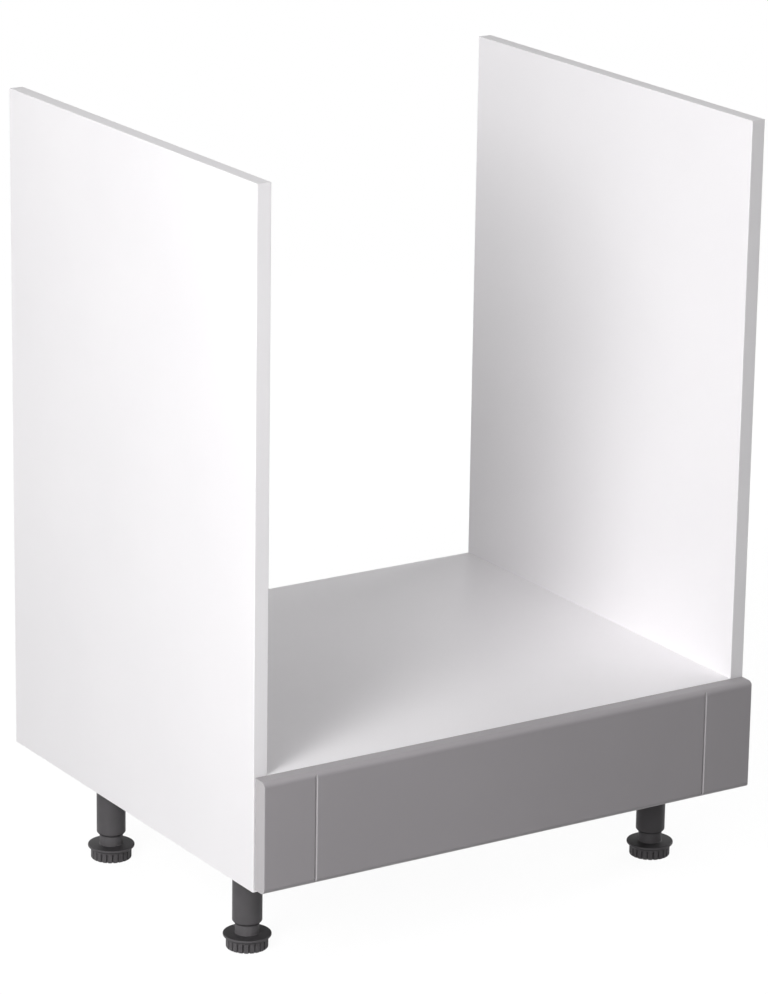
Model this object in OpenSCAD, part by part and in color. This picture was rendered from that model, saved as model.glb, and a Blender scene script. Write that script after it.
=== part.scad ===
// Built-under oven housing, 600 mm module: two white side panels that stand up
// past an oven deck, a shallow drawer with a grey grooved front below the deck,
// and four black adjustable legs. The top and the back are open.
//
// Frame: +Z up, front towards -Y, X to the right seen from the front.
// The origin is on the floor, in the middle of the width and of the depth.

/* [Carcass] */
// Overall width over the side panels
unit_w = 600; // [450:1:900]
// Height of the side panels, without the legs
side_h = 720; // [560:1:1000]
// Depth of the side panels with their front edging
side_d = 500; // [440:1:640]
// Thickness of the board of every carcass panel
board_t = 16; // [15:0.5:22]
// Height of the oven deck's top above the lower edge of the sides
deck_top = 121.5; // [115:0.5:170]
// Thickness of the glued edging
edging_t = 1; // [0.5:0.1:2]
// Rounding of the edging's long edges
edging_r = 0.8; // [0.2:0.1:1.5]

/* [Drawer front] */
// Thickness of the drawer front
front_t = 18; // [15:0.5:22]
// Gap between the drawer front's back face and the carcass
front_gap = 1; // [0.6:0.1:3]
// Reveal left at each end of the drawer front
front_reveal_x = 1.5; // [0.5:0.1:4]
// Reveal below the drawer front
front_reveal_low = 3; // [1:0.5:6]
// Radius of the rounding along the drawer front's upper and lower edge
front_r = 6; // [1:0.5:8]
// Radius of the rounding along the drawer front's two ends
front_end_r = 1; // [0.5:0.1:3]
// Distance of each groove from the near end of the drawer front
groove_inset = 60; // [30:1:110]
// Width of the V groove at the face
groove_w = 3; // [1:0.5:6]
// Depth of the V groove
groove_depth = 2; // [0.5:0.5:4]

/* [Drawer box] */
// Thickness of the drawer's sides and back
drawer_board_t = 12; // [12:0.5:16]
// Height of the drawer's sides
drawer_side_h = 60; // [40:1:62]
// Thickness of the drawer's bottom sheet
drawer_bottom_t = 3; // [3:0.5:6]
// Height of the bottom sheet above the sides' lower edge
drawer_bottom_lift = 9; // [8:0.5:12]
// Depth of the groove that holds the bottom sheet
drawer_groove_depth = 5; // [3:0.5:7]
// Length of the drawer box behind the front
drawer_d = 450; // [400:1:460]
// How far the drawer pulls out
drawer_travel = 340; // [200:1:340]

/* [Roller runners] */
// Room for the runners between the carcass side and the drawer side
runner_room = 12.7; // [12.5:0.1:14]
// Sheet thickness of the runner profiles
runner_sheet = 1.2; // [1:0.1:1.5]
// Height of the fixed profile above the bottom panel
runner_lift = 6; // [2:1:10]
// Diameter of the rear rollers, which run in the fixed profile
rear_roller_d = 22; // [18:0.5:24]
// Diameter of the front rollers, which carry the drawer's profile
front_roller_d = 20; // [16:0.5:20]
// Width of each roller
roller_w = 6.5; // [5:0.1:7]
// Diameter of the rollers' axles
axle_d = 5; // [4:0.5:6]
// Radial clearance of a roller on its axle
axle_clear = 0.05; // [0.02:0.01:0.1]
// Clearance between a roller and the profile that it meets
roll_clear = 0.3; // [0.2:0.05:0.5]

/* [Legs] */
// Height of the legs, floor to carcass
leg_h = 100; // [95:1:150]
// Distance of each leg's axis from the outer face of the side
leg_inset_x = 47.5; // [46:0.5:90]
// Distance of the front legs' axes behind the sides' front edge
leg_front_y = 90; // [60:1:140]
// Distance of the rear legs' axes in front of the sides' rear edge
leg_rear_y = 125; // [60:1:160]
// Diameter of the leg's tube
tube_d = 31; // [28:0.5:34]
// Diameter of the foot's threaded stem
stem_d = 25; // [18:0.5:25]
// Radial clearance of the stem in the tube
stem_clear = 0.05; // [0.02:0.01:0.1]
// Diameter of the foot's flange
flange_d = 50; // [44:0.5:60]
// Thickness of the foot's flange
flange_t = 4.5; // [3:0.5:8]
// Diameter of the knurled ring that stands on the floor
knurl_d = 43.5; // [40:0.5:50]
// Height of the knurled ring
knurl_h = 11; // [8:0.5:18]
// Number of grooves round the knurled ring
knurl_count = 22; // [12:1:36]
// Stem that shows between the tube and the flange
neck_h = 11; // [4:0.5:14]
// How far the stem reaches up into the tube
stem_grip = 42; // [25:1:42]
// Diameter of the socket plate under the bottom panel
socket_plate_d = 62; // [60:1:62]

/* [Hidden] */
$fn = 64;

// Shared small values
eps = 0.01;            // overshoot of a cut past the face that it leaves
bore_clear = 0.1;      // radial room of glued and pushed-in fittings
bore_spare = 0.5;      // depth of a blind bore past what it holds
groove_clear = 0.1;    // room of the bottom sheet in its grooves

// Carcass positions
depth_all = front_t + front_gap + side_d;
face_y = -depth_all / 2;               // foremost plane, the drawer front's face
carcass_y = face_y + front_t + front_gap;
back_y = depth_all / 2;
core_y = carcass_y + edging_t;         // front of the boards, behind the edging
core_d = side_d - edging_t;
inner_w = unit_w - 2 * board_t;
bottom_z = leg_h;                      // lower face of the bottom panel
floor_z = leg_h + board_t;             // upper face of the bottom panel
deck_z = leg_h + deck_top - board_t;   // lower face of the deck
top_z = leg_h + side_h;
rail_h = deck_z - floor_z;

// Furniture fittings
cam_d = 15;
cam_inset = 34;        // cam axis from the panel's end
cam_bolt_d = 6;
cam_bolt_bore_d = 8;
cam_bolt_thread = 11;  // screwed into the side panel
bolt_neck_d = 4;       // bolt between its collar and its head
cam_collar_d = 7.4;    // bolt's collar, just inside the panel's end
cam_collar_l = 1;
cam_head_d = 6.8;
cam_head_l = 2.4;
cam_cover = 1.1;       // cam's floor above the bolt's head
cam_t = board_t / 2 + cam_head_d / 2 + cam_cover;
cam_neck_room = 0.5;   // radial room of the bolt in the cam
cam_head_room = 0.4;   // room of the bolt's head along the bolt
cam_cross_w = 1.6;     // screwdriver cross in the cam's open face
cam_cross_t = 1.8;
dowel_d = 8;
dowel_l = 30;
dowel_chamfer = 1;
dowel_in_side = 11;    // part of the dowel in the side panel
cam_from_edge = 36;    // first and last cam from the sides' front and rear edge
dowel_from_leg = 55;   // dowels clear of the legs' screws
cam_y = [cam_from_edge, side_d / 2, side_d - cam_from_edge];
dowel_y = [leg_front_y + dowel_from_leg, side_d - leg_rear_y - dowel_from_leg];

// Runner geometry: the fixed profile is a C open to the drawer
runner_setback = 2;                            // profiles start behind the sides' front edge
runner_len = drawer_d - runner_setback;
runner_y = carcass_y + runner_setback;
channel_h = rear_roller_d + 2 * roll_clear;
channel_z = floor_z + runner_lift;             // underside of the fixed profile
track_z = channel_z + runner_sheet;            // track of the rear rollers
channel_top = track_z + channel_h;             // underside of the upper lip
channel_w = runner_room - 2 * runner_sheet - roll_clear;
rear_axis_z = track_z + roll_clear + rear_roller_d / 2;
rail_top = channel_top - 2 * roll_clear;       // top of the drawer profile's lip
rail_low = rail_top - runner_sheet;
front_axis_z = rail_low - roll_clear - front_roller_d / 2;
roller_end = 14;                               // axle from the profile's end
front_axis_y = runner_y + roller_end;
rear_axis_y = runner_y + runner_len - roller_end;
roller_gap = 3;                                // profile cut back from a roller's rim
track_start = front_axis_y + front_roller_d / 2 + roller_gap;
rail_side_clear = 1;                           // drawer profile's lip from the fixed web
stop_h = 3;                                    // bump that ends the pull-out
stop_l = 4;
stop_reach = sqrt(pow(rear_roller_d / 2, 2) - pow(rear_roller_d / 2 + roll_clear - stop_h, 2));
stop_y = rear_axis_y - drawer_travel - stop_reach - roll_clear - stop_l;
runner_screw_y = [70, 230, 390];               // behind the profile's front end
runner_screw_d = 5;
runner_screw_l = 11;
runner_head_d = 9;
runner_head_h = 0.9;
box_screw_d = 4;                               // screws of the drawer's profiles
box_screw_l = 10;
box_head_d = 7;
axle_head_d = 7.5;
axle_head_h = 0.8;
axle_span = runner_room - 2 * runner_sheet;    // from web to web
roller_x = inner_w / 2 - runner_room / 2;      // rollers midway between the webs
roller_chamfer = 0.6;

// Drawer box, hung between the runners
drawer_x = inner_w / 2 - runner_room;          // outer face of a drawer side
drawer_lift = 5;                               // drawer's sides above the rear track
drawer_low = track_z + drawer_lift;
drawer_y = face_y + front_t;                   // back face of the drawer front
drawer_back_y = drawer_y + drawer_d;
front_low = leg_h + front_reveal_low;
front_top = leg_h + deck_top;
front_w = unit_w - 2 * front_reveal_x;
sheet_z = drawer_low + drawer_bottom_lift;
sheet_w = 2 * (drawer_x - drawer_board_t + drawer_groove_depth - groove_clear);
back_w = 2 * (drawer_x - drawer_board_t);
back_low = sheet_z + drawer_bottom_t + groove_clear;
drawer_cam_down = 22;                          // cams below the sides' upper edge
drawer_fit_z = drawer_low + drawer_side_h - drawer_cam_down;
drawer_dowel_up = 24;                          // dowels above the sides' lower edge
drawer_pin_z = drawer_low + drawer_dowel_up;
drawer_cam_d = 12;
drawer_cam_inset = 24;
drawer_cam_cover = 0.1;
drawer_cam_t = drawer_board_t / 2 + cam_head_d / 2 + drawer_cam_cover;
drawer_dowel_d = 6;
drawer_dowel_l = 26;
small_screw_d = 3.5;
small_head_d = 7;
back_screw_l = 35;
back_head_h = 1.2;
back_screw_up = 9;                             // lower screw above the bottom sheet
back_screw_down = 10;                          // upper screw below the upper edge
sheet_screw_l = 14;
sheet_head_h = 1.6;
sheet_screw_share = [-0.35, 0, 0.35];          // places along the drawer's back
lip_depth = 10;                                // flange under the drawer side

// Legs
socket_t = 4;
collar_d = 38;
collar_h = 19;                                  // plate included
collar_wall_clear = 0.05;
rib_t = 2;                                      // ribs from the collar to the plate
rib_drop = 4;                                   // ribs end above the collar's rim
rib_sink = 1;                                   // ribs reach into collar and plate
tube_top = leg_h - socket_t;
tube_cap_t = 3;
tube_low = knurl_h + flange_t + neck_h;
tube_chamfer = 2.5;
stem_top = tube_low + stem_grip;
stem_wall = 3;
leg_screw_ring = 25;
leg_screw_d = 4;
leg_screw_l = 14;
leg_screw_head_d = 7.6;
leg_screw_head_h = 2.2;
thread_pitch = 4;
thread_depth = 0.7;
thread_start = 0.5;                             // first groove above the tube's mouth
thread_rise = [0, 0.7, 1.3, 2];                 // heights of a groove's four corners
thread_plain = 4;                               // plain length at the stem's top
sole_chamfer = 1.2;
flange_chamfer = 0.8;
knurl_groove_d = 2;
knurl_groove_out = 0.2;                         // groove's axis outside the ring
knurl_groove_gap = 1.5;                         // groove ends below the flange

function leg_x(right) = (right ? 1 : -1) * (unit_w / 2 - leg_inset_x);
function leg_y(rear) = rear ? back_y - leg_rear_y : carcass_y + leg_front_y;

// Colours as photographed
white = [0.93, 0.93, 0.93];
white_edge = [0.89, 0.89, 0.89];
grey = [0.53, 0.52, 0.525];
charcoal = [0.31, 0.31, 0.315];
steel = [0.7, 0.71, 0.72];
nylon = [0.9, 0.9, 0.87];
beech = [0.8, 0.66, 0.47];

// ---------------------------------------------------------------- helpers

// The child on the right-hand side, or its mirror image on the left
module hand(right) {
    if (right) children();
    else mirror([1, 0, 0]) children();
}

module both_hands() {
    for (right = [false, true]) hand(right) children();
}

// A strip with its two outer long edges rounded: w by t in XY, length along Z
module rounded_strip(w, t, length, r) {
    least_flat = 0.1;
    rr = min(r, t - least_flat, w / 2 - least_flat);
    linear_extrude(length) union() {
        translate([rr, 0]) square([w - 2 * rr, t]);
        translate([0, rr]) square([w, t - rr]);
        intersection() {
            square([w, t]);
            for (x = [rr, w - rr]) translate([x, rr]) circle(rr);
        }
    }
}

// A screw along Z: its flat head stands on z 0 and its pointed shank goes down
module pan_screw(d, length, head_d, head_h) {
    difference() {
        union() {
            translate([0, 0, -length + d / 2]) cylinder(d = d, h = length - d / 2 + eps);
            translate([0, 0, -length]) cylinder(d1 = d / 4, d2 = d, h = d / 2 + eps);
            cylinder(d = head_d, h = head_h);
        }
        for (a = [0, 90]) rotate([0, 0, a])
            translate([-head_d / 4, -d / 10, head_h * 0.3]) cube([head_d / 2, d / 5, head_h]);
    }
}

// Turns what is drawn along +Z to lie along +X
module along_x() {
    rotate([0, 90, 0]) children();
}

// ------------------------------------------------- cams, bolts and dowels

// Places of the panel-end cams on the right-hand side: [y, z of the bolt]
function cam_rows() = concat(
    [for (z = [bottom_z + board_t / 2, deck_z + board_t / 2])
        for (y = cam_y) [carcass_y + y, z]],
    [[back_y - board_t / 2, floor_z + rail_h / 2]]
);

function dowel_rows() = concat(
    [for (z = [bottom_z + board_t / 2, deck_z + board_t / 2])
        for (y = dowel_y) [carcass_y + y, z]],
    [for (dz = [-1, 1]) [back_y - board_t / 2, floor_z + rail_h / 2 + dz * rail_h / 4]]
);

// Bores in a side panel's inner face for the bolts, dowels and runner screws
module side_bores() {
    for (p = cam_rows()) translate([inner_w / 2 - eps, p[0], p[1]])
        along_x() cylinder(d = cam_bolt_d + 2 * bore_clear, h = cam_bolt_thread + bore_spare);
    for (p = dowel_rows()) translate([inner_w / 2 - eps, p[0], p[1]])
        along_x() cylinder(d = dowel_d + 2 * bore_clear, h = dowel_in_side + bore_spare);
    for (y = runner_screw_y) translate([inner_w / 2 - eps, runner_y + y, rear_axis_z])
        along_x() cylinder(d = runner_screw_d + 2 * bore_clear, h = runner_screw_l + bore_spare);
}

// Bores in a panel's end: the bolt's way in and the dowel's rear half
module end_bore(d, length) {
    translate([inner_w / 2 - length, 0, 0]) along_x() cylinder(d = d, h = length + 1);
}

// One cam bolt, thread into the side at x = inner_w / 2, head in the cam
module cam_bolt(reach) {
    along_x() union() {
        cylinder(d = cam_bolt_d, h = cam_bolt_thread);
        translate([0, 0, -cam_collar_l]) cylinder(d = cam_collar_d, h = cam_collar_l);
        translate([0, 0, -reach]) cylinder(d = bolt_neck_d, h = reach);
        translate([0, 0, -reach - cam_head_l / 2]) cylinder(d = cam_head_d, h = cam_head_l);
    }
}

// One cam: a drum with a slot for the bolt's neck and a pocket for its head.
// Its axis is Z, its open face looks to -Z and the bolt comes in along +X.
module cam_lock(d = cam_d, t = cam_t, depth = board_t / 2) {
    difference() {
        cylinder(d = d - 2 * bore_clear, h = t - bore_clear);
        translate([0, 0, depth]) along_x() cylinder(d = bolt_neck_d + 2 * cam_neck_room, h = d);
        translate([-cam_head_l / 2 - cam_head_room, 0, depth]) along_x()
            cylinder(d = cam_head_d + 2 * cam_neck_room, h = cam_head_l + 2 * cam_head_room);
        for (a = [45, 135]) rotate([0, 0, a])
            translate([-d * 0.3, -cam_cross_w / 2, -eps]) cube([d * 0.6, cam_cross_w, cam_cross_t]);
    }
}

module dowel_pin(length, inside, d = dowel_d) {
    translate([-(length - inside), 0, 0]) along_x() union() {
        cylinder(d1 = d - dowel_chamfer, d2 = d, h = dowel_chamfer);
        translate([0, 0, dowel_chamfer]) cylinder(d = d, h = length - 2 * dowel_chamfer);
        translate([0, 0, length - dowel_chamfer])
            cylinder(d1 = d, d2 = d - dowel_chamfer, h = dowel_chamfer);
    }
}

// ---------------------------------------------------------- carcass panels

module side_panel(right) {
    color(white) hand(right) difference() {
        translate([inner_w / 2, core_y, leg_h])
            cube([board_t, core_d, side_h - edging_t]);
        side_bores();
    }
}

module side_front_edging(right) {
    color(white_edge) hand(right) translate([inner_w / 2, carcass_y, leg_h])
        rounded_strip(board_t, edging_t, side_h - edging_t, edging_r);
}

module side_top_edging(right) {
    color(white_edge) hand(right) translate([inner_w / 2, back_y, top_z])
        rotate([90, 0, 0]) mirror([0, 1, 0])
            rounded_strip(board_t, edging_t, side_d, edging_r);
}

// Cam bores of a horizontal panel from its lower face, with the end drillings
module panel_drilling(z) {
    both_hands() for (y = cam_y)
        translate([0, carcass_y + y, z + board_t / 2]) {
            translate([inner_w / 2 - cam_inset, 0, -board_t / 2 - eps])
                cylinder(d = cam_d, h = cam_t + eps);
            end_bore(cam_bolt_bore_d, cam_inset);
        }
    both_hands() for (y = dowel_y)
        translate([0, carcass_y + y, z + board_t / 2])
            end_bore(dowel_d + 2 * bore_clear, dowel_l - dowel_in_side + bore_spare);
}

module oven_deck() {
    color(white) difference() {
        translate([-inner_w / 2, core_y, deck_z]) cube([inner_w, core_d, board_t]);
        panel_drilling(deck_z);
    }
}

module deck_front_edging() {
    color(white_edge) translate([-inner_w / 2, carcass_y, deck_z])
        cube([inner_w, edging_t, board_t]);
}

module bottom_panel() {
    color(white) difference() {
        translate([-inner_w / 2, core_y, bottom_z]) cube([inner_w, core_d, board_t]);
        panel_drilling(bottom_z);
        leg_screw_places() translate([0, 0, -eps])
            cylinder(d = leg_screw_d + 2 * bore_clear, h = leg_screw_l - socket_t + bore_spare);
    }
}

module bottom_front_edging() {
    color(white_edge) translate([-inner_w / 2, carcass_y, bottom_z])
        cube([inner_w, edging_t, board_t]);
}

// The upright rail that closes the drawer space at the back
module back_rail() {
    color(white) difference() {
        translate([-inner_w / 2, back_y - board_t, floor_z]) cube([inner_w, board_t, rail_h]);
        both_hands() translate([0, back_y - board_t / 2, floor_z + rail_h / 2]) {
            translate([inner_w / 2 - cam_inset, board_t / 2 + eps, 0])
                rotate([90, 0, 0]) cylinder(d = cam_d, h = cam_t + eps);
            end_bore(cam_bolt_bore_d, cam_inset);
            for (dz = [-1, 1]) translate([0, 0, dz * rail_h / 4])
                end_bore(dowel_d + 2 * bore_clear, dowel_l - dowel_in_side + bore_spare);
        }
    }
}

module cam_bolts() {
    color(steel) both_hands() for (p = cam_rows())
        translate([inner_w / 2, p[0], p[1]]) cam_bolt(cam_inset);
}

module cam_locks() {
    color(steel) both_hands() {
        for (z = [bottom_z, deck_z]) for (y = cam_y)
            translate([inner_w / 2 - cam_inset, carcass_y + y, z]) cam_lock();
        translate([inner_w / 2 - cam_inset, back_y, floor_z + rail_h / 2])
            rotate([90, 0, 0]) cam_lock();
    }
}

module dowels() {
    color(beech) both_hands() for (p = dowel_rows())
        translate([inner_w / 2, p[0], p[1]]) dowel_pin(dowel_l, dowel_in_side);
}

// ---------------------------------------------------------------- runners

// Holes through a profile's web for its screws
module runner_holes(x) {
    for (y = runner_screw_y) translate([x, runner_y + y, rear_axis_z])
        along_x() cylinder(d = runner_screw_d + 2 * bore_clear, h = 2 * runner_sheet, center = true);
}

// Fixed C profile. The lower track stops behind the front roller.
module cabinet_runner(right) {
    web_x = inner_w / 2 - runner_sheet;
    color(white) hand(right) difference() {
        union() {
            translate([web_x, runner_y, channel_z])
                cube([runner_sheet, runner_len, channel_h + 2 * runner_sheet]);
            translate([web_x - channel_w, runner_y, channel_top])
                cube([channel_w + eps, runner_len, runner_sheet]);
            translate([web_x - channel_w, track_start, channel_z])
                cube([channel_w + eps, runner_y + runner_len - track_start, runner_sheet]);
            translate([web_x - channel_w, stop_y, track_z - eps])
                cube([channel_w, stop_l, stop_h + eps]);
        }
        runner_holes(web_x + runner_sheet / 2);
        translate([web_x + runner_sheet / 2, front_axis_y, front_axis_z])
            along_x() cylinder(d = axle_d, h = 2 * runner_sheet, center = true);
    }
}

// Drawer profile: web on the drawer side, lip under it, rail over the roller
module drawer_runner(right) {
    web_x = drawer_x;
    rail_end = rear_axis_y - rear_roller_d / 2 - roller_gap;
    length = rear_axis_y + roller_end - drawer_y;
    color(white) hand(right) difference() {
        union() {
            translate([web_x, drawer_y, drawer_low - runner_sheet])
                cube([runner_sheet, length, rail_top - drawer_low + runner_sheet]);
            translate([web_x - lip_depth, drawer_y, drawer_low - runner_sheet])
                cube([lip_depth + eps, length, runner_sheet]);
            translate([web_x + runner_sheet - eps, drawer_y, rail_low])
                cube([channel_w - rail_side_clear, rail_end - drawer_y, runner_sheet]);
        }
        runner_holes(web_x + runner_sheet / 2);
        translate([web_x + runner_sheet / 2, rear_axis_y, rear_axis_z])
            along_x() cylinder(d = axle_d, h = 2 * runner_sheet, center = true);
    }
}

module cabinet_runner_screws() {
    color(steel) both_hands() for (y = runner_screw_y)
        translate([inner_w / 2 - runner_sheet, runner_y + y, rear_axis_z])
            rotate([0, -90, 0]) pan_screw(runner_screw_d, runner_screw_l, runner_head_d, runner_head_h);
}

module drawer_runner_screws() {
    color(steel) both_hands() for (y = runner_screw_y)
        translate([drawer_x + runner_sheet, runner_y + y, rear_axis_z])
            rotate([0, 90, 0]) pan_screw(box_screw_d, box_screw_l, box_head_d, runner_head_h);
}

// Axle riveted in a web at local x 0, reaching through the roller to its head
module axle() {
    reach = axle_span / 2 + roller_w / 2 + axle_clear;
    along_x() union() {
        translate([0, 0, -runner_sheet]) cylinder(d = axle_d, h = runner_sheet + reach);
        translate([0, 0, reach]) cylinder(d = axle_head_d, h = axle_head_h);
    }
}

module cabinet_roller_axles() {
    color(steel) both_hands()
        translate([inner_w / 2 - runner_sheet, front_axis_y, front_axis_z])
            mirror([1, 0, 0]) axle();
}

module drawer_roller_axles() {
    color(steel) both_hands()
        translate([drawer_x + runner_sheet, rear_axis_y, rear_axis_z]) axle();
}

module roller(right, d, y, z) {
    color(nylon) hand(right) translate([roller_x, y, z]) rotate([0, 90, 0])
        rotate_extrude() translate([0, -roller_w / 2]) polygon([
            [axle_d / 2 + axle_clear, 0],
            [d / 2 - roller_chamfer, 0],
            [d / 2, roller_chamfer],
            [d / 2, roller_w - roller_chamfer],
            [d / 2 - roller_chamfer, roller_w],
            [axle_d / 2 + axle_clear, roller_w]
        ]);
}

// ------------------------------------------------------------- the drawer

// Outline of the front's section: square at the back, rounded with radius r at the face
module front_section(length, r) {
    union() {
        translate([0, r]) square([length, front_t - r]);
        translate([r, 0]) square([length - 2 * r, front_t]);
        translate([r, r]) circle(r);
        translate([length - r, r]) circle(r);
    }
}

module drawer_front() {
    height = front_top - front_low;
    color(grey) difference() {
        intersection() {
            translate([-front_w / 2, face_y, front_low])
                linear_extrude(height) front_section(front_w, front_end_r);
            translate([-front_w / 2, face_y, front_top])
                rotate([0, 90, 0]) linear_extrude(front_w) front_section(height, front_r);
        }
        for (side = [-1, 1]) translate([side * (front_w / 2 - groove_inset), face_y, front_low - 1])
            linear_extrude(height + 2) polygon([
                [-groove_w / 2 - eps, -eps],
                [groove_w / 2 + eps, -eps],
                [0, groove_depth]
            ]);
        both_hands() {
            translate([drawer_x - drawer_board_t / 2, drawer_y + eps, drawer_fit_z])
                rotate([90, 0, 0])
                    cylinder(d = cam_bolt_d + 2 * bore_clear, h = cam_bolt_thread + bore_spare);
            translate([drawer_x - drawer_board_t / 2, drawer_y + eps, drawer_pin_z])
                rotate([90, 0, 0])
                    cylinder(d = drawer_dowel_d + 2 * bore_clear, h = dowel_in_side + bore_spare);
        }
        translate([-sheet_w / 2 - groove_clear, drawer_y - drawer_groove_depth, sheet_z - groove_clear])
            cube([sheet_w + 2 * groove_clear, drawer_groove_depth + 1, drawer_bottom_t + 2 * groove_clear]);
    }
}

module drawer_side(right) {
    color(white) hand(right) difference() {
        translate([drawer_x - drawer_board_t, drawer_y, drawer_low])
            cube([drawer_board_t, drawer_d, drawer_side_h]);
        translate([drawer_x - drawer_board_t - 1, drawer_y - 1, sheet_z - groove_clear])
            cube([drawer_groove_depth + 1, drawer_d + 2, drawer_bottom_t + 2 * groove_clear]);
        translate([drawer_x - drawer_board_t - eps, drawer_y + drawer_cam_inset, drawer_fit_z])
            along_x() cylinder(d = drawer_cam_d, h = drawer_cam_t);
        translate([drawer_x - drawer_board_t / 2, drawer_y - 1, drawer_fit_z])
            rotate([-90, 0, 0]) cylinder(d = cam_bolt_bore_d, h = drawer_cam_inset + 1);
        translate([drawer_x - drawer_board_t / 2, drawer_y - 1, drawer_pin_z])
            rotate([-90, 0, 0]) cylinder(d = drawer_dowel_d + 2 * bore_clear,
                                         h = drawer_dowel_l - dowel_in_side + 1 + bore_spare);
        for (y = runner_screw_y) translate([drawer_x + eps, runner_y + y, rear_axis_z])
            rotate([0, -90, 0]) cylinder(d = box_screw_d + 2 * bore_clear, h = box_screw_l + bore_spare);
        drawer_back_screw_places() back_screw_bore();
    }
}

// Screws that go through the drawer side into the end of the drawer's back
module drawer_back_screw_places() {
    for (z = [sheet_z + drawer_bottom_t + back_screw_up, drawer_low + drawer_side_h - back_screw_down])
        translate([drawer_x, drawer_back_y - drawer_board_t / 2, z])
            rotate([0, 90, 0]) children();
}

module back_screw_bore() {
    translate([0, 0, -back_screw_l - bore_spare])
        cylinder(d = small_screw_d + 2 * bore_clear, h = back_screw_l + 2 * bore_spare);
}

// Screws that go up through the bottom sheet into the drawer's back
module sheet_screw_places() {
    for (share = sheet_screw_share)
        translate([share * back_w, drawer_back_y - drawer_board_t / 2, sheet_z]) children();
}

module drawer_back() {
    color(white) difference() {
        translate([-back_w / 2, drawer_back_y - drawer_board_t, back_low])
            cube([back_w, drawer_board_t, drawer_low + drawer_side_h - back_low]);
        both_hands() drawer_back_screw_places() back_screw_bore();
        sheet_screw_places() cylinder(d = small_screw_d + 2 * bore_clear, h = sheet_screw_l + bore_spare);
    }
}

module drawer_bottom() {
    color(white) difference() {
        translate([-sheet_w / 2, drawer_y - drawer_groove_depth + groove_clear, sheet_z])
            cube([sheet_w, drawer_d + drawer_groove_depth - groove_clear, drawer_bottom_t]);
        sheet_screw_places() translate([0, 0, -1])
            cylinder(d = small_screw_d + 2 * bore_clear, h = drawer_bottom_t + 2);
    }
}

module drawer_bottom_screws() {
    color(steel) sheet_screw_places() rotate([180, 0, 0])
        pan_screw(small_screw_d, sheet_screw_l, small_head_d, sheet_head_h);
}

module drawer_back_screws() {
    color(steel) both_hands() drawer_back_screw_places()
        pan_screw(small_screw_d, back_screw_l, small_head_d, back_head_h);
}

module drawer_cam_bolts() {
    color(steel) both_hands()
        translate([drawer_x - drawer_board_t / 2, drawer_y, drawer_fit_z])
            rotate([0, 0, -90]) cam_bolt(drawer_cam_inset);
}

module drawer_cam_locks() {
    color(steel) both_hands()
        translate([drawer_x - drawer_board_t, drawer_y + drawer_cam_inset, drawer_fit_z])
            rotate([90, 0, 90]) rotate([0, 0, 180])
                cam_lock(drawer_cam_d, drawer_cam_t, drawer_board_t / 2);
}

module drawer_dowels() {
    color(beech) both_hands()
        translate([drawer_x - drawer_board_t / 2, drawer_y, drawer_pin_z])
            rotate([0, 0, -90]) dowel_pin(drawer_dowel_l, dowel_in_side, drawer_dowel_d);
}

// ------------------------------------------------------------------- legs

module leg_places() {
    for (right = [false, true]) for (rear = [false, true])
        translate([leg_x(right), leg_y(rear), 0]) children();
}

// Screw axes of every leg at the carcass's lower face, pointing up
module leg_screw_places() {
    leg_places() translate([0, 0, leg_h]) leg_screw_ring() children();
}

module leg_screw_ring() {
    for (a = [45 : 90 : 315]) rotate([0, 0, a]) translate([leg_screw_ring, 0, 0]) children();
}

module leg_socket(right, rear) {
    color(charcoal) translate([leg_x(right), leg_y(rear), 0]) difference() {
        union() {
            translate([0, 0, leg_h - socket_t]) cylinder(d = socket_plate_d, h = socket_t);
            translate([0, 0, leg_h - collar_h]) cylinder(d = collar_d, h = collar_h);
            for (a = [0 : 90 : 270]) rotate([0, 0, a])
                translate([collar_d / 2 - rib_sink, -rib_t / 2, leg_h - collar_h + rib_drop])
                    cube([(socket_plate_d - collar_d) / 2 - rib_t, rib_t, collar_h - rib_drop]);
        }
        translate([0, 0, leg_h - collar_h - 1])
            cylinder(d = tube_d + 2 * collar_wall_clear, h = collar_h - socket_t + 1);
        translate([0, 0, leg_h]) leg_screw_ring()
            cylinder(d = leg_screw_d + 2 * bore_clear, h = 2 * socket_t + 1, center = true);
    }
}

module leg_tube(right, rear) {
    bore_d = stem_d + 2 * stem_clear;
    color(charcoal) translate([leg_x(right), leg_y(rear), 0]) rotate_extrude() polygon([
        [bore_d / 2, tube_low],
        [tube_d / 2 - tube_chamfer, tube_low],
        [tube_d / 2, tube_low + tube_chamfer],
        [tube_d / 2, tube_top],
        [0, tube_top],
        [0, tube_top - tube_cap_t],
        [bore_d / 2, tube_top - tube_cap_t]
    ]);
}

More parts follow.
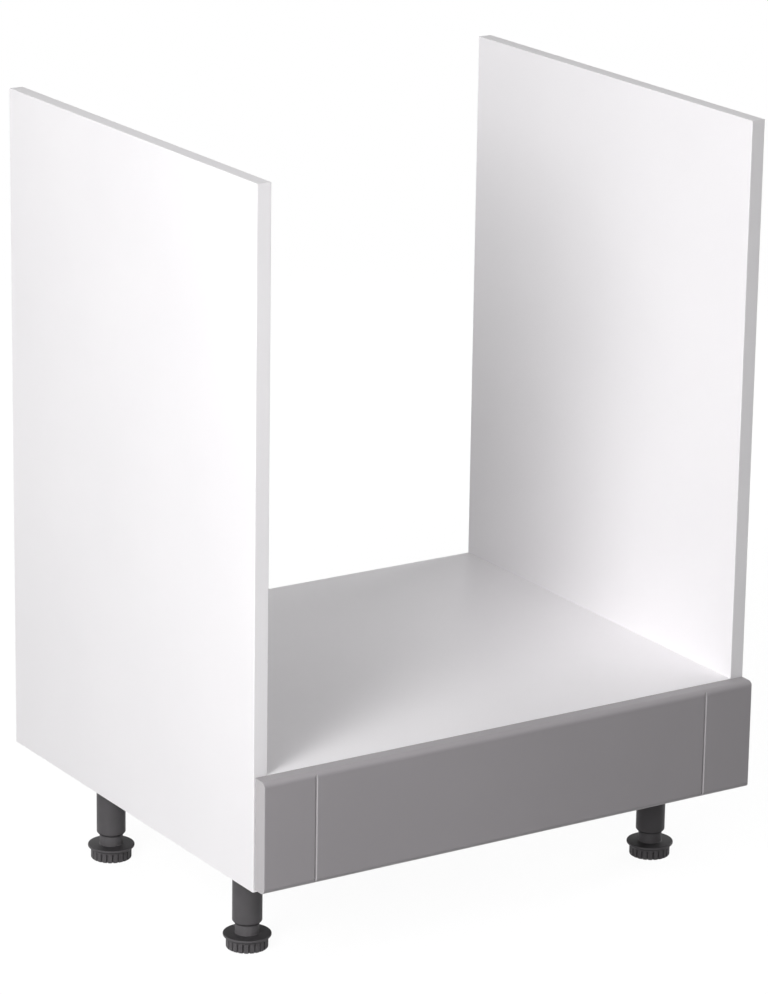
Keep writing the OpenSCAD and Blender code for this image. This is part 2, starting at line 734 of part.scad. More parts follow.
// Foot: threaded stem, flange and knurled ring in one moulding
module leg_foot(right, rear) {
    flange_high = knurl_h + flange_t;
    turns = floor((stem_grip - thread_plain) / thread_pitch);
    color(charcoal) translate([leg_x(right), leg_y(rear), 0]) difference() {
        rotate_extrude() polygon(concat(
            [
                [0, 0],
                [knurl_d / 2 - sole_chamfer, 0],
                [knurl_d / 2, sole_chamfer],
                [knurl_d / 2, knurl_h - flange_chamfer],
                [knurl_d / 2 - flange_chamfer, knurl_h],
                [flange_d / 2 - flange_chamfer, knurl_h],
                [flange_d / 2, knurl_h + flange_chamfer],
                [flange_d / 2, flange_high - sole_chamfer],
                [flange_d / 2 - sole_chamfer, flange_high],
                [stem_d / 2, flange_high]
            ],
            [for (i = [0 : turns - 1]) for (k = [0 : 3])
                [
                    stem_d / 2 - (k == 1 || k == 2 ? thread_depth : 0),
                    tube_low + thread_start + i * thread_pitch + thread_rise[k]
                ]],
            [
                [stem_d / 2, stem_top - 1],
                [stem_d / 2 - 1, stem_top],
                [stem_d / 2 - stem_wall, stem_top],
                [stem_d / 2 - stem_wall, flange_high],
                [0, flange_high]
            ]
        ));
        for (i = [0 : knurl_count - 1]) rotate([0, 0, i * 360 / knurl_count])
            translate([knurl_d / 2 + knurl_groove_out, 0, -1])
                cylinder(d = knurl_groove_d, h = knurl_h - knurl_groove_gap + 1);
    }
}

module leg_screws() {
    color(steel) leg_screw_places() translate([0, 0, -socket_t])
        rotate([180, 0, 0]) pan_screw(leg_screw_d, leg_screw_l, leg_screw_head_d, leg_screw_head_h);
}

// -------------------------------------------------------------- the parts

side_panel(false);  // side_left
side_panel(true);  // side_right
side_front_edging(false);  // side_left_front_edging
side_front_edging(true);  // side_right_front_edging
side_top_edging(false);  // side_left_top_edging
side_top_edging(true);  // side_right_top_edging
oven_deck();
deck_front_edging();
bottom_panel();
bottom_front_edging();
back_rail();
cam_bolts();
cam_locks();
dowels();
cabinet_runner(false);  // cabinet_runner_left
cabinet_runner(true);  // cabinet_runner_right
cabinet_runner_screws();
cabinet_roller_axles();
roller(false, front_roller_d, front_axis_y, front_axis_z);  // roller_front_left
roller(true, front_roller_d, front_axis_y, front_axis_z);  // roller_front_right
roller(false, rear_roller_d, rear_axis_y, rear_axis_z);  // roller_rear_left
roller(true, rear_roller_d, rear_axis_y, rear_axis_z);  // roller_rear_right
drawer_front();
drawer_side(false);  // drawer_side_left
drawer_side(true);  // drawer_side_right
drawer_back();
drawer_bottom();
drawer_runner(false);  // drawer_runner_left
drawer_runner(true);  // drawer_runner_right
drawer_runner_screws();
drawer_roller_axles();
drawer_cam_bolts();
drawer_cam_locks();
drawer_dowels();
drawer_back_screws();
drawer_bottom_screws();
leg_socket(false, false);  // leg_socket_front_left
leg_socket(true, false);  // leg_socket_front_right
leg_socket(false, true);  // leg_socket_rear_left
leg_socket(true, true);  // leg_socket_rear_right
leg_tube(false, false);  // leg_tube_front_left
leg_tube(true, false);  // leg_tube_front_right
leg_tube(false, true);  // leg_tube_rear_left
leg_tube(true, true);  // leg_tube_rear_right
leg_foot(false, false);  // leg_foot_front_left
leg_foot(true, false);  // leg_foot_front_right
leg_foot(false, true);  // leg_foot_rear_left
leg_foot(true, true);  // leg_foot_rear_right
leg_screws();
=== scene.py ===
"""Built-under oven housing: finishes, turned legs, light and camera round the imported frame."""
import math

import bmesh
import bpy
from mathutils import Matrix, Vector


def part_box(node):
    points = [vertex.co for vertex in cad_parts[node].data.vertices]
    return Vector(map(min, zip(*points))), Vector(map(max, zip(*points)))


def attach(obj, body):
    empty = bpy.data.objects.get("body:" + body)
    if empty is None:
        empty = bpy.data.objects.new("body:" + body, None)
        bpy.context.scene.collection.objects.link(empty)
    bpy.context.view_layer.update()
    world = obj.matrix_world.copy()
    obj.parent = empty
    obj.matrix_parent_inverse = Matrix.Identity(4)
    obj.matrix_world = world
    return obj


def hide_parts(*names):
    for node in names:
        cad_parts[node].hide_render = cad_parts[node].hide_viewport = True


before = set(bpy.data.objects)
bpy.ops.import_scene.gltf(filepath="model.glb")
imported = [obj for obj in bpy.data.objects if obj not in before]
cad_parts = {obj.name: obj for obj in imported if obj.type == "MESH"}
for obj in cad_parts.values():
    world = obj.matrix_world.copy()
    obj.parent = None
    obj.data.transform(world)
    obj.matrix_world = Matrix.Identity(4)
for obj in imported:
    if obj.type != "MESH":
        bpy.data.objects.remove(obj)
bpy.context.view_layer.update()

MM = 0.001
TURN = 2 * math.pi


# ------------------------------------------------------------ measures of the frame

def low(node):
    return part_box(node)[0]


def high(node):
    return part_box(node)[1]


def middle(node):
    return (Vector(low(node)) + Vector(high(node))) / 2


CORNERS = ("front_left", "front_right", "rear_left", "rear_right")


# ------------------------------------------------------------ camera

PICTURE_HIGH = 994                 # pixels on the picture's long side
FOCAL_PIXELS = 4395
CAMERA_TURN = math.radians(-32.676)    # round +Z, from the front towards the left
CAMERA_LIFT = math.radians(17.091)
CAMERA_ROLL = math.radians(0.864)
CAMERA_DISTANCE = 4.670
CAMERA_TARGET = Vector((0.0272, 0.0395, 0.3859))


def make_camera():
    data = bpy.data.cameras.new("camera")
    data.lens = FOCAL_PIXELS / PICTURE_HIGH * data.sensor_width
    data.clip_end = 100
    camera = bpy.data.objects.new("camera", data)
    bpy.context.scene.collection.objects.link(camera)
    level = math.cos(CAMERA_LIFT)
    back = Vector((math.sin(CAMERA_TURN) * level, -math.cos(CAMERA_TURN) * level, math.sin(CAMERA_LIFT)))
    right = Vector((0, 0, 1)).cross(back).normalized()
    up = back.cross(right)
    tilted_right = right * math.cos(CAMERA_ROLL) + up * math.sin(CAMERA_ROLL)
    tilted_up = up * math.cos(CAMERA_ROLL) - right * math.sin(CAMERA_ROLL)
    turn = Matrix((tilted_right, tilted_up, back)).transposed()
    camera.matrix_world = Matrix.Translation(CAMERA_TARGET + back * CAMERA_DISTANCE) @ turn.to_4x4()
    bpy.context.scene.camera = camera


# ------------------------------------------------------------ shader helper

class Shader:
    """A node material: small calls that add nodes and join them."""

    def __init__(self, name):
        self.material = bpy.data.materials.new(name)
        self.material.use_nodes = True
        self.tree = self.material.node_tree
        self.tree.nodes.clear()
        self.out = self.add("ShaderNodeOutputMaterial")
        self.surface = self.add("ShaderNodeBsdfPrincipled")
        self.join(self.surface.outputs[0], self.out.inputs["Surface"])

    def add(self, kind, **settings):
        node = self.tree.nodes.new(kind)
        for key, value in settings.items():
            setattr(node, key, value)
        return node

    def join(self, source, target):
        self.tree.links.new(source, target)

    def put(self, socket, value):
        """A number, a colour or another node's output into a socket."""
        if isinstance(value, bpy.types.NodeSocket):
            self.join(value, socket)
        else:
            socket.default_value = value

    def plain(self, **values):
        """Constants on the surface shader's own sockets."""
        for key, value in values.items():
            self.surface.inputs[key.replace("_", " ")].default_value = value

    def place(self, scale=(1, 1, 1)):
        """The object's own coordinates in metres, stretched."""
        mapping = self.add("ShaderNodeMapping")
        self.join(self.add("ShaderNodeTexCoord").outputs["Object"], mapping.inputs["Vector"])
        mapping.inputs["Scale"].default_value = scale
        return mapping.outputs[0]

    def noise(self, scale, detail=2.0, rough=0.5, stretch=(1, 1, 1)):
        node = self.add("ShaderNodeTexNoise")
        self.join(self.place(stretch), node.inputs["Vector"])
        node.inputs["Scale"].default_value = scale
        node.inputs["Detail"].default_value = detail
        node.inputs["Roughness"].default_value = rough
        return node.outputs["Fac"]

    def cells(self, scale, stretch=(1, 1, 1)):
        node = self.add("ShaderNodeTexVoronoi")
        self.join(self.place(stretch), node.inputs["Vector"])
        node.inputs["Scale"].default_value = scale
        return node

    def math(self, operation, a, b=0.0):
        node = self.add("ShaderNodeMath", operation=operation)
        for socket, value in zip(node.inputs, (a, b)):
            self.put(socket, value)
        return node.outputs[0]

    def span(self, value, low_in, high_in, low_out, high_out):
        node = self.add("ShaderNodeMapRange")
        for key, number in (("Value", value), ("From Min", low_in), ("From Max", high_in),
                            ("To Min", low_out), ("To Max", high_out)):
            self.put(node.inputs[key], number)
        return node.outputs[0]

    def blend(self, pattern, a, b):
        """Two colours mixed by the middle part of a noise."""
        return self.mix(self.span(pattern, 0.3, 0.7, 0, 1), a, b)

    def mix(self, factor, a, b):
        node = self.add("ShaderNodeMix", data_type="RGBA")
        self.put(node.inputs[0], factor)
        self.put(node.inputs[6], a)
        self.put(node.inputs[7], b)
        return node.outputs[2]

    def ramp(self, value, stops):
        node = self.add("ShaderNodeValToRGB")
        self.join(value, node.inputs[0])
        points = node.color_ramp.elements
        while len(points) < len(stops):
            points.new(0.5)
        for point, (at, colour) in zip(points, stops):
            point.position = at
            point.color = colour
        return node.outputs[0]

    def bump(self, height, distance, strength):
        node = self.add("ShaderNodeBump")
        node.inputs["Strength"].default_value = strength
        node.inputs["Distance"].default_value = distance
        self.join(height, node.inputs["Height"])
        return node.outputs[0]

    def normal_part(self, axis):
        """The face normal's part along the axis 'X', 'Y' or 'Z'."""
        split = self.add("ShaderNodeSeparateXYZ")
        self.join(self.add("ShaderNodeNewGeometry").outputs["True Normal"], split.inputs[0])
        return split.outputs[axis]

    def tilt(self, axis):
        """How square a face lies to the axis: 0 along it to 1 across it."""
        return self.math("ABSOLUTE", self.normal_part(axis))

    def facing(self, axis, least=0.7):
        """1 on faces nearly square to the axis, 0 on the others."""
        return self.math("GREATER_THAN", self.tilt(axis), least)

    def finish(self, colour, rough, normal=None):
        self.put(self.surface.inputs["Base Color"], colour)
        self.put(self.surface.inputs["Roughness"], rough)
        if normal is not None:
            self.join(normal, self.surface.inputs["Normal"])
        return self.material


def rgb(r, g, b):
    return (r, g, b, 1.0)


# ------------------------------------------------------------ materials

WHITE = rgb(0.872, 0.856, 0.872)
WHITE_DEEP = rgb(0.848, 0.833, 0.850)
GREY = rgb(0.336, 0.319, 0.333)
GREY_DEEP = rgb(0.319, 0.303, 0.316)
# painted light: the two paler greys below stand for lamp light and reflection, the first on the front's top
# rounding and groove walls, the second on its ends
GREY_PAINTED_SLOPE_LIGHT = rgb(0.42, 0.402, 0.415)
GREY_PAINTED_END_LIGHT = rgb(0.475, 0.458, 0.470)
CHARCOAL = rgb(0.089, 0.085, 0.089)
CHARCOAL_PALE = rgb(0.103, 0.098, 0.103)
# painted shade: a darker charcoal for the legs' level faces, such as the flange tops under the cabinet
CHARCOAL_PAINTED_SHADE = rgb(0.040, 0.038, 0.040)


def melamine_on(shader):
    """Colour, roughness and normal of the white melamine face."""
    cloud = shader.noise(5.0, 3.0)
    pearl = shader.noise(900.0, 3.0, 0.6)
    colour = shader.blend(cloud, WHITE, WHITE_DEEP)
    rough = shader.span(pearl, 0.3, 0.7, 0.34, 0.46)
    normal = shader.bump(pearl, 0.03 * MM, 0.5)
    return colour, rough, normal


def chipboard_on(shader, stretch):
    """Colour and normal of a sawn chipboard edge: pressed flakes."""
    flakes = shader.cells(420.0, stretch)
    fines = shader.noise(1500.0, 4.0, 0.7, stretch)
    tone = shader.ramp(flakes.outputs["Color"], (
        (0.0, rgb(0.30, 0.20, 0.115)),
        (0.3, rgb(0.50, 0.36, 0.22)),
        (0.75, rgb(0.64, 0.49, 0.32)),
        (1.0, rgb(0.76, 0.63, 0.45)),
    ))
    colour = shader.mix(shader.span(fines, 0.35, 0.65, 0.0, 0.55), tone, rgb(0.58, 0.44, 0.28))
    pits = shader.math("ADD", flakes.outputs["Distance"], shader.math("MULTIPLY", fines, 0.6))
    normal = shader.bump(pits, 0.35 * MM, 0.8)
    return colour, normal


def board_material(name, face_axis, raw_axes):
    """White board whose sawn edges, square to raw_axes, show chipboard."""
    shader = Shader(name)
    colour, rough, normal = melamine_on(shader)
    stretch = {"X": (1, 0.45, 0.45), "Y": (0.45, 1, 0.45), "Z": (0.45, 0.45, 1)}[face_axis]
    raw_colour, raw_normal = chipboard_on(shader, stretch)
    raw = shader.facing(raw_axes[0])
    for axis in raw_axes[1:]:
        raw = shader.math("MAXIMUM", raw, shader.facing(axis))
    pick = shader.add("ShaderNodeMix", data_type="VECTOR")
    shader.join(raw, pick.inputs[0])
    shader.join(normal, pick.inputs[4])
    shader.join(raw_normal, pick.inputs[5])
    return shader.finish(
        shader.mix(raw, colour, raw_colour),
        shader.math("MAXIMUM", rough, shader.math("MULTIPLY", raw, 0.9)),
        pick.outputs[1],
    )


def edging_material():
    shader = Shader("edging")
    cloud = shader.noise(7.0, 2.0)
    grain = shader.noise(1400.0, 2.0, 0.5, (1, 1, 0.08))
    colour = shader.blend(cloud, WHITE, WHITE_DEEP)
    return shader.finish(colour, shader.span(grain, 0.3, 0.7, 0.36, 0.5), shader.bump(grain, 0.02 * MM, 0.5))


def front_material():
    """Grey foil on the drawer front: even satin colour with a fine tooth. The groove walls, the top's
    rounding
    and the ends are painted paler: painted light and reflection from the side lamps and the white panels."""
    shader = Shader("front_foil")
    shader.plain(Specular_IOR_Level=0.32)
    cloud = shader.noise(6.0, 3.0)
    tooth = shader.noise(2600.0, 3.0, 0.6)
    drift = shader.noise(60.0, 2.0)
    colour = shader.blend(cloud, GREY, GREY_DEEP)
    # painted highlight: the top's rounding, which tilts upward, is painted paler
    colour = shader.mix(shader.span(shader.tilt("Z"), 0.3, 0.6, 0, 0.35), colour, GREY_PAINTED_SLOPE_LIGHT)
    # painted light: the groove walls, which face the side lamps, are painted paler
    colour = shader.mix(shader.facing("X", 0.6), colour, GREY_PAINTED_SLOPE_LIGHT)
    # painted light: the ends, which face the side lamps, are painted paler still
    colour = shader.mix(shader.facing("X", 0.9), colour, GREY_PAINTED_END_LIGHT)
    rough = shader.math("ADD", shader.span(tooth, 0.3, 0.7, 0.44, 0.56),
                        shader.span(drift, 0.3, 0.7, -0.02, 0.02))
    return shader.finish(colour, rough, shader.bump(tooth, 0.025 * MM, 0.6))


def moulded_material():
    """Charcoal moulded plastic of the legs: matt satin with a spark-eroded skin, and painted shade that
    darkens the level faces."""
    shader = Shader("leg_plastic")
    shader.plain(Specular_IOR_Level=0.12)
    skin = shader.noise(2200.0, 3.0, 0.6)
    cloud = shader.noise(45.0, 2.0)
    colour = shader.blend(cloud, CHARCOAL, CHARCOAL_PALE)
    # painted shade: faces that look up or down are darkened
    colour = shader.mix(shader.span(shader.tilt("Z"), 0.5, 0.9, 0, 1), colour, CHARCOAL_PAINTED_SHADE)
    rough = shader.math("ADD", shader.span(skin, 0.3, 0.7, 0.42, 0.56),
                        shader.span(cloud, 0.3, 0.7, -0.03, 0.03))
    return shader.finish(colour, rough, shader.bump(skin, 0.04 * MM, 0.6))


def coated_material():
    """White epoxy coat on the runner profiles, with the orange peel of a powder coat."""
    shader = Shader("runner_coat")
    peel = shader.noise(520.0, 2.0, 0.4)
    colour = shader.blend(shader.noise(30.0), rgb(0.80, 0.80, 0.785), rgb(0.77, 0.77, 0.76))
    return shader.finish(colour, shader.span(peel, 0.3, 0.7, 0.25, 0.36), shader.bump(peel, 0.03 * MM, 0.5))


def nylon_material():
    shader = Shader("nylon")
    shader.plain(Subsurface_Weight=0.15, Subsurface_Scale=0.002)
    rub = shader.noise(900.0, 2.0, 0.5)
    colour = shader.blend(rub, rgb(0.76, 0.75, 0.69), rgb(0.70, 0.69, 0.63))
    return shader.finish(colour, shader.span(rub, 0.3, 0.7, 0.3, 0.45), shader.bump(rub, 0.02 * MM, 0.4))


def zinc_material(name, colour_a, colour_b, rough_low, rough_high):
    """Plated or cast zinc: crystal patches and fine scratches."""
    shader = Shader(name)
    shader.plain(Metallic=1.0)
    patch = shader.cells(900.0)
    scratch = shader.noise(1800.0, 3.0, 0.6, (1, 0.2, 1))
    tone = shader.span(patch.outputs["Distance"], 0.0, 0.7, 0, 1)
    rough = shader.span(scratch, 0.3, 0.7, rough_low, rough_high)
    return shader.finish(shader.mix(tone, colour_a, colour_b), rough, shader.bump(scratch, 0.03 * MM, 0.5))


def beech_material():
    shader = Shader("beech")
    fibre = shader.noise(900.0, 4.0, 0.6, (0.12, 1, 1))
    colour = shader.ramp(fibre, ((0.3, rgb(0.50, 0.32, 0.16)), (0.7, rgb(0.72, 0.52, 0.31))))
    return shader.finish(colour, shader.span(fibre, 0.3, 0.7, 0.55, 0.75), shader.bump(fibre, 0.1 * MM, 0.6))


def hardboard_material():
    """Drawer bottom: white lacquer above, bare brown fibre below and on the edges."""
    shader = Shader("hardboard")
    upper = shader.math("GREATER_THAN", shader.normal_part("Z"), 0.7)
    felt = shader.noise(1100.0, 4.0, 0.7)
    brown = shader.blend(felt, rgb(0.30, 0.17, 0.085), rgb(0.40, 0.25, 0.135))
    pearl = shader.noise(700.0, 3.0, 0.6)
    white = shader.blend(pearl, WHITE, WHITE_DEEP)
    rough = shader.math("SUBTRACT", 0.8, shader.math("MULTIPLY", upper, 0.38))
    return shader.finish(shader.mix(upper, brown, white), rough, shader.bump(felt, 0.05 * MM, 0.5))


def use(material, *names):
    """Puts a material in every slot of these CAD nodes."""
    for name in names:
        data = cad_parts[name].data
        if not data.materials:
            data.materials.append(material)
        for index in range(len(data.materials)):
            data.materials[index] = material


# ------------------------------------------------------------ turned legs

def arc(centre, radius, start, end, steps=5):
    """Points of a rounded corner in a lathe profile, angles in degrees."""
    return [(centre[0] + radius * math.cos(math.radians(start + (end - start) * k / steps)),
             centre[1] + radius * math.sin(math.radians(start + (end - start) * k / steps)))
            for k in range(steps + 1)]


def smooth_piece(name, mesh, material, sharp=35):
    piece = bpy.data.objects.new(name, mesh)
    bpy.context.scene.collection.objects.link(piece)
    mesh.materials.append(material)
    mesh.shade_smooth()
    mesh.set_sharp_from_angle(angle=math.radians(sharp))
    return piece


def turned(profile, segments, centre, shape=None):
    """Mesh of a closed lathe profile [(radius, z)] round the Z line through centre.
    shape(angle, radius, z) may change the radius, as for a knurl."""
    bm = bmesh.new()
    rings = []
    for radius, z in profile:
        if radius < 1e-6:
            rings.append([bm.verts.new((centre.x, centre.y, z))])
            continue
        ring = []
        for k in range(segments):
            angle = TURN * k / segments
            r = shape(angle, radius, z) if shape else radius
            ring.append(bm.verts.new((centre.x + r * math.cos(angle), centre.y + r * math.sin(angle), z)))
        rings.append(ring)
    for a, b in zip(rings, rings[1:]):
        for k in range(segments):
            n = (k + 1) % segments
            corners = [a[k % len(a)], a[n % len(a)], b[n % len(b)], b[k % len(b)]]
            unique = [v for i, v in enumerate(corners) if v not in corners[:i]]
            if len(unique) > 2:
                bm.faces.new(unique)
    bmesh.ops.recalc_face_normals(bm, faces=bm.faces)
    mesh = bpy.data.meshes.new("turned")
    bm.to_mesh(mesh)
    bm.free()
    return mesh


KNURL_COUNT = 22
KNURL_R, FLANGE_R, STEM_R = 21.75 * MM, 25 * MM, 12.5 * MM
KNURL_H, FLANGE_T, NECK_H, STEM_WALL = 11 * MM, 4.5 * MM, 11 * MM, 3 * MM
RIM_LOW = KNURL_H + 2.2 * MM       # the flange's underside slopes from here to the ring
KNURL_DEPTH = 2.4 * MM
KNURL_TOP = 9.9 * MM               # where the grooves run out under the flange
GROOVE_SHARE = 0.31                # of the pitch that a groove takes
GROOVE_RUN_OUT = 1.0 * MM
FACETS_PER_GROOVE = 18
SOLE_ROUND, RIM_ROUND, NECK_ROUND = 1.2 * MM, 1.1 * MM, 0.9 * MM
WALL_HEIGHTS = (2, 4, 6, 8, 8.9, 9.2, 9.5, 9.7, 9.9, 10.4)   # mm, close together where the grooves end
THREAD_PITCH, THREAD_DEPTH = 4 * MM, 0.7 * MM


def knurl(angle, radius, z):
    """Narrow upright grooves with short run-outs below the flange."""
    if radius < KNURL_R - 1.4 * MM or z > KNURL_TOP:
        return radius
    phase = (angle / TURN * KNURL_COUNT + 0.5) % 1 - 0.5
    across = max(0.0, 1 - (abs(phase) / (GROOVE_SHARE / 2)) ** 2)
    fade = min(1.0, max(0.0, (KNURL_TOP - z) / GROOVE_RUN_OUT))
    return radius - KNURL_DEPTH * across ** 0.4 * math.sqrt(fade) * min(1.0, (radius / KNURL_R) ** 8)


def foot_profile(stem_top):
    """Half section of the foot, from the middle of its sole up to the hollow stem."""
    flange_high = KNURL_H + FLANGE_T
    points = [(0, 0), (KNURL_R * 0.7, 0), (KNURL_R - SOLE_ROUND - 0.1 * MM, 0)]
    points += arc((KNURL_R - SOLE_ROUND, SOLE_ROUND), SOLE_ROUND, -90, 0)
    points += [(KNURL_R, z * MM) for z in WALL_HEIGHTS]
    points += [(KNURL_R + 0.15 * MM, KNURL_H - 0.1 * MM), (KNURL_R + 0.7 * MM, KNURL_H + 0.4 * MM)]
    points += [(FLANGE_R - 0.9 * MM, RIM_LOW - 0.75 * MM), (FLANGE_R - 0.25 * MM, RIM_LOW - 0.2 * MM)]
    points += [(FLANGE_R, RIM_LOW + 0.4 * MM)]
    points += arc((FLANGE_R - RIM_ROUND, flange_high - RIM_ROUND), RIM_ROUND, 0, 90)
    points += arc((STEM_R + NECK_ROUND, flange_high + NECK_ROUND), NECK_ROUND, 270, 180)
    points += thread_points(flange_high + NECK_H + 0.5 * MM, stem_top - 3 * MM)
    points += [(STEM_R, stem_top - 1 * MM), (STEM_R - 1 * MM, stem_top)]
    points += [(STEM_R - STEM_WALL, stem_top), (STEM_R - STEM_WALL, flange_high), (0, flange_high)]
    return points


def thread_points(start, end):
    """Rounded rings that stand for the coarse thread, from start up to end."""
    points = []
    z = start
    while z + THREAD_PITCH <= end:
        points += [(STEM_R, z), (STEM_R - THREAD_DEPTH, z + 0.25 * THREAD_PITCH),
                   (STEM_R - THREAD_DEPTH, z + 0.4 * THREAD_PITCH), (STEM_R, z + 0.65 * THREAD_PITCH)]
        z += THREAD_PITCH
    return points


def make_feet(material):
    for corner in CORNERS:
        node = f"leg_foot_{corner}"
        mesh = turned(foot_profile(high(node).z), KNURL_COUNT * FACETS_PER_GROOVE, middle(node), knurl)
        piece = smooth_piece(f"foot_{corner}", mesh, material, sharp=50)
        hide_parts(node)
        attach(piece, f"foot_{corner}")


TUBE_CHAMFER, STEM_AIR = 2.5 * MM, 0.05 * MM


def make_tubes(material):
    for corner in CORNERS:
        node = f"leg_tube_{corner}"
        radius = (high(node).x - low(node).x) / 2
        bottom, top = low(node).z, high(node).z
        bore = STEM_R + STEM_AIR
        points = [(0, top - 3 * MM), (bore, top - 3 * MM), (bore, bottom + 0.2 * MM)]
        points += [(bore + 0.1 * MM, bottom), (radius - TUBE_CHAMFER - 0.1 * MM, bottom)]
        points += [(radius - TUBE_CHAMFER + 0.1 * MM, bottom + 0.1 * MM)]
        points += [(radius - 0.35 * MM, bottom + TUBE_CHAMFER)]
        points += [(radius - 0.08 * MM, bottom + 2.9 * MM), (radius, bottom + 3.5 * MM)]
        points += [(radius, (bottom + top) / 2), (radius, top), (0, top)]
        piece = smooth_piece(f"tube_{corner}", turned(points, 96, middle(node)), material)
        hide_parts(node)
        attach(piece, "carcass")


# ------------------------------------------------------------ surroundings

AMBIENT = 0.055
FLOOR_Z = -0.3 * MM                # clear of the soles, which are at zero
FLOOR_WHITE = rgb(0.40, 0.40, 0.40)   # for the light that the floor throws back on the object
SHADOW_SHARE = 0.2                 # how much of the floor's own shading shows near the object
SHADOW_LIFT = 0.92                  # makes up for the shading where nothing shades the floor
SHADOW_NEAR, SHADOW_FAR = 1.2, 2.6     # distance over which that shading fades out


def seen_directly(shader):
    """1 for camera, mirror and see-through rays, 0 for the light that falls on things."""
    path = shader.add("ShaderNodeLightPath")
    rays = path.outputs["Is Camera Ray"]
    for ray in ("Is Glossy Ray", "Is Transmission Ray"):
        rays = shader.math("MAXIMUM", rays, path.outputs[ray])
    return rays


def make_floor():
    """White floor that shows part of the object's shadow. What lies below it, as the feet do when
    they are turned out, can be seen through it, and from below it isn't seen at all."""
    shader = Shader("floor")
    shader.finish(FLOOR_WHITE, 0.9)
    away = shader.add("ShaderNodeVectorMath", operation="LENGTH")
    shader.join(shader.place(), away.inputs[0])
    share = shader.span(away.outputs["Value"], SHADOW_NEAR, SHADOW_FAR, SHADOW_SHARE, 0.0)
    glow = shader.add("ShaderNodeEmission")
    glow.inputs["Color"].default_value = rgb(1, 1, 1)
    shader.join(shader.math("MULTIPLY", share, SHADOW_LIFT), glow.inputs["Strength"])
    clear = shader.add("ShaderNodeBsdfTransparent").outputs[0]
    bright = shader.add("ShaderNodeAddShader")
    shader.join(glow.outputs[0], bright.inputs[0])
    shader.join(clear, bright.inputs[1])
    blend = shader.add("ShaderNodeMixShader")
    shown = shader.math("MULTIPLY", seen_directly(shader), shader.math("SUBTRACT", 1.0, share))
    shader.join(shown, blend.inputs[0])
    shader.join(shader.surface.outputs[0], blend.inputs[1])
    shader.join(bright.outputs[0], blend.inputs[2])
    below = shader.add("ShaderNodeMixShader")
    shader.join(shader.add("ShaderNodeNewGeometry").outputs["Backfacing"], below.inputs[0])
    shader.join(blend.outputs[0], below.inputs[1])
    shader.join(clear, below.inputs[2])
    shader.join(below.outputs[0], shader.out.inputs["Surface"])
    bm = bmesh.new()
    bmesh.ops.create_circle(bm, cap_ends=True, segments=96, radius=14)
    mesh = bpy.data.meshes.new("floor")
    bm.to_mesh(mesh)
    bm.free()
    mesh.materials.append(shader.material)
    floor = bpy.data.objects.new("floor", mesh)
    floor.location.z = FLOOR_Z
    bpy.context.scene.collection.objects.link(floor)


def make_world():
    world = bpy.data.worlds.new("studio")
    world.use_nodes = True
    tree = world.node_tree
    tree.nodes.clear()
    out = tree.nodes.new("ShaderNodeOutputWorld")
    background = tree.nodes.new("ShaderNodeBackground")
    path = tree.nodes.new("ShaderNodeLightPath")
    seen = path.outputs["Is Camera Ray"]
    for ray in ("Is Glossy Ray", "Is Transmission Ray"):
        either = tree.nodes.new("ShaderNodeMath")
        either.operation = "MAXIMUM"
        tree.links.new(seen, either.inputs[0])
        tree.links.new(path.outputs[ray], either.inputs[1])
        seen = either.outputs[0]
    level = tree.nodes.new("ShaderNodeMapRange")
    tree.links.new(seen, level.inputs["Value"])
    level.inputs["To Min"].default_value = AMBIENT
    level.inputs["To Max"].default_value = 1.0
    background.inputs["Color"].default_value = rgb(1, 1, 1)
    tree.links.new(level.outputs[0], background.inputs["Strength"])
    tree.links.new(background.outputs[0], out.inputs["Surface"])
    bpy.context.scene.world = world


# Soft lamps: name, turn round +Z from the front (left is minus), height angle, distance, width,
# height, watts
LAMPS = (
    ("key", -60, 21, 3.4, 1.9, 1.05, 44),
    ("key_high", -60, 35, 3.4, 1.0, 1.0, 24),
    ("key_low", -60, 10, 3.4, 1.0, 1.0, 12),
    ("key_front", -45, 21, 3.4, 1.0, 1.0, 7),
    ("near_left", -60, 17, 1.6, 0.5, 0.5, 2.5),
    ("near_front", -25, 16, 1.6, 0.5, 0.5, 2.7),
    ("top", 0, 89, 2.8, 1.6, 1.6, 7),
    ("top_left", -80, 60, 2.8, 1.4, 1.4, 4.5),
    ("back", 180, 9, 3.5, 1.6, 1.6, 28),
    ("back_left", -135, 30, 3.5, 1.6, 1.6, 8),
    ("right", 100, 12, 3.5, 1.6, 1.6, 50),
)
LAMP_AIM = Vector((0, 0, 0.42))


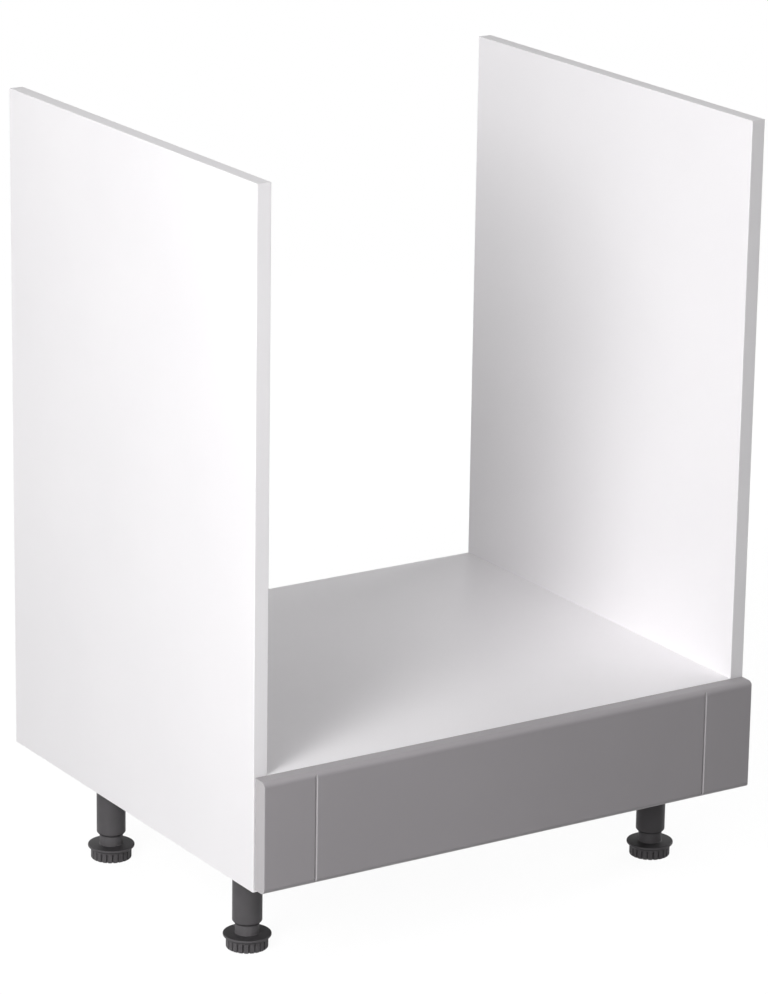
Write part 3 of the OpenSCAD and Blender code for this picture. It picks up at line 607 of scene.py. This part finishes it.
def make_lamps():
    for name, turn, lift, distance, width, height, watts in LAMPS:
        data = bpy.data.lights.new(name, "AREA")
        data.shape = "ELLIPSE"
        data.size, data.size_y = width, height
        data.energy = watts
        lamp = bpy.data.objects.new(name, data)
        bpy.context.scene.collection.objects.link(lamp)
        turn, lift = math.radians(turn), math.radians(lift)
        away = Vector((math.sin(turn) * math.cos(lift), -math.cos(turn) * math.cos(lift), math.sin(lift)))
        lamp.location = LAMP_AIM + away * distance
        lamp.rotation_mode = "QUATERNION"
        lamp.rotation_quaternion = away.to_track_quat("Z", "Y")


# ------------------------------------------------------------ the scene

make_camera()
make_world()
make_floor()
make_lamps()
bpy.context.scene.view_settings.view_transform = "Standard"

use(board_material("side_board", "X", "YZ"), "side_left", "side_right")
use(board_material("level_board", "Z", "XY"), "oven_deck", "bottom_panel")
use(board_material("rail_board", "Y", "XZ"), "back_rail")
use(board_material("drawer_side_board", "X", "Y"), "drawer_side_left", "drawer_side_right")
use(board_material("drawer_back_board", "Y", "X"), "drawer_back")
use(edging_material(), "side_left_front_edging", "side_right_front_edging", "side_left_top_edging",
    "side_right_top_edging", "deck_front_edging", "bottom_front_edging")
use(front_material(), "drawer_front")
use(hardboard_material(), "drawer_bottom")
use(coated_material(), "cabinet_runner_left", "cabinet_runner_right",
    "drawer_runner_left", "drawer_runner_right")
use(nylon_material(), "roller_front_left", "roller_front_right", "roller_rear_left", "roller_rear_right")
use(zinc_material("plated_steel", rgb(0.62, 0.63, 0.65), rgb(0.52, 0.53, 0.56), 0.24, 0.4),
    "cam_bolts", "cabinet_runner_screws", "cabinet_roller_axles", "drawer_runner_screws",
    "drawer_roller_axles", "drawer_cam_bolts", "drawer_back_screws", "drawer_bottom_screws", "leg_screws")
use(zinc_material("cast_zinc", rgb(0.50, 0.50, 0.51), rgb(0.42, 0.42, 0.435), 0.4, 0.55),
    "cam_locks", "drawer_cam_locks")
use(beech_material(), "dowels", "drawer_dowels")
leg_plastic = moulded_material()
use(leg_plastic, *[f"leg_socket_{corner}" for corner in CORNERS])
make_feet(leg_plastic)
make_tubes(leg_plastic)
